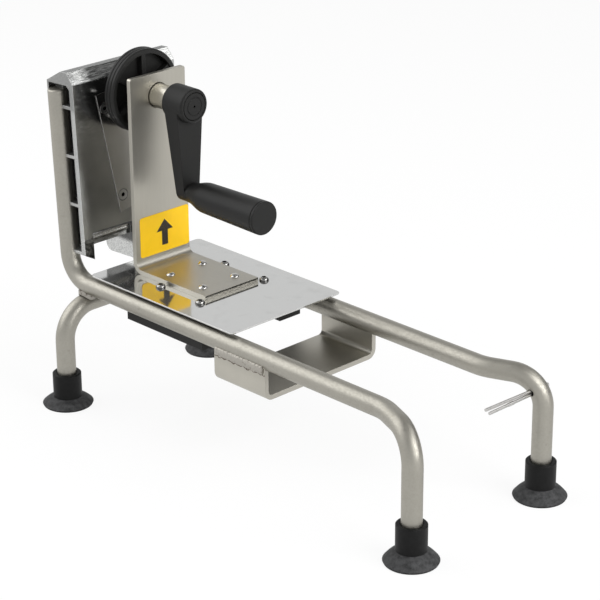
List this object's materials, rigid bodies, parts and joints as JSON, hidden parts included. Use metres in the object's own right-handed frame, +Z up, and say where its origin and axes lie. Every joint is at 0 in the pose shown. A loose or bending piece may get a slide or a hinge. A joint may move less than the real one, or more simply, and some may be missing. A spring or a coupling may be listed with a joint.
{
  "type": "spiral vegetable slicer",
  "caption": "Hand-cranked spiral vegetable slicer: tube frame on suction feet, cast blade head, and a sliding carriage whose spiked disc turns the vegetable against the blade.",
  "frame": {"origin": "centre of the bounding box at the level of the table", "axes": "+X along the rails from the blade head towards the front legs, +Y across to the side with the stop pin, +Z up"},
  "size_m": [0.4474, 0.2014, 0.295],
  "materials": {
    "tube_steel": "satin stainless tube",
    "channel_steel": "satin stainless sheet",
    "weld_metal": "weld bead, slightly brown",
    "foot_rubber": "black rubber, dusty on the flange",
    "bright_steel": "bright polished",
    "head_metal": "polished casting with matte cast ends",
    "blade_steel": "ground stainless",
    "screw_steel": "plain turned",
    "sheet_steel": "mirror polished stainless sheet",
    "guide_plastic": "black machined plastic",
    "bracket_steel": "brushed along its length",
    "label_film": "bare yellow film",
    "sleeve_steel": "turned",
    "crank_plastic": "black moulded plastic",
    "grip_plastic": "black moulded plastic"
  },
  "bodies": {
    "frame": {"left_side_tube": "tube_steel", "right_side_tube": "tube_steel", "rear_leg_hoop": "tube_steel", "cross_channel": "channel_steel", "hoop_welds": "weld_metal", "channel_welds": "weld_metal", "front_left_foot": "foot_rubber", "front_right_foot": "foot_rubber", "rear_left_foot": "foot_rubber", "rear_right_foot": "foot_rubber", "stop_pin": "bright_steel", "head_casting": "head_metal", "blade_plate": "blade_steel", "plate_screws": "screw_steel", "slicing_blade": "blade_steel", "blade_screws": "screw_steel", "coring_tube": "blade_steel"},
    "carriage": {"carriage_plate": "sheet_steel", "left_guide": "guide_plastic", "right_guide": "guide_plastic", "guide_screws": "bright_steel", "carriage_bracket": "bracket_steel", "bracket_rivets": "bright_steel", "push_label": "label_film", "bearing_sleeve": "sleeve_steel", "front_bush": "guide_plastic", "rear_bush": "guide_plastic"},
    "crank": {"drive_shaft": "screw_steel", "holding_disc": "crank_plastic", "disc_prongs": "bright_steel", "centre_spike": "bright_steel", "crank_arm": "crank_plastic", "crank_bolt": "screw_steel", "hub_cap": "crank_plastic", "grip_spindle": "screw_steel"},
    "grip": {"grip": "grip_plastic", "grip_plug": "grip_plastic"}
  },
  "joints": [
    {"name": "carriage_slide", "type": "slide", "parent": "frame", "child": "carriage", "axis": [1, 0, 0], "range_m": [0, 0.236]},
    {"name": "crank_turn", "type": "hinge", "parent": "carriage", "child": "crank", "pos_m": [-0.1504, 0, 0.26], "axis": [1, 0, 0], "continuous": true},
    {"name": "grip_turn", "type": "hinge", "parent": "crank", "child": "grip", "pos_m": [-0.1, 0, 0.186], "axis": [1, 0, 0], "continuous": true}
  ]
}
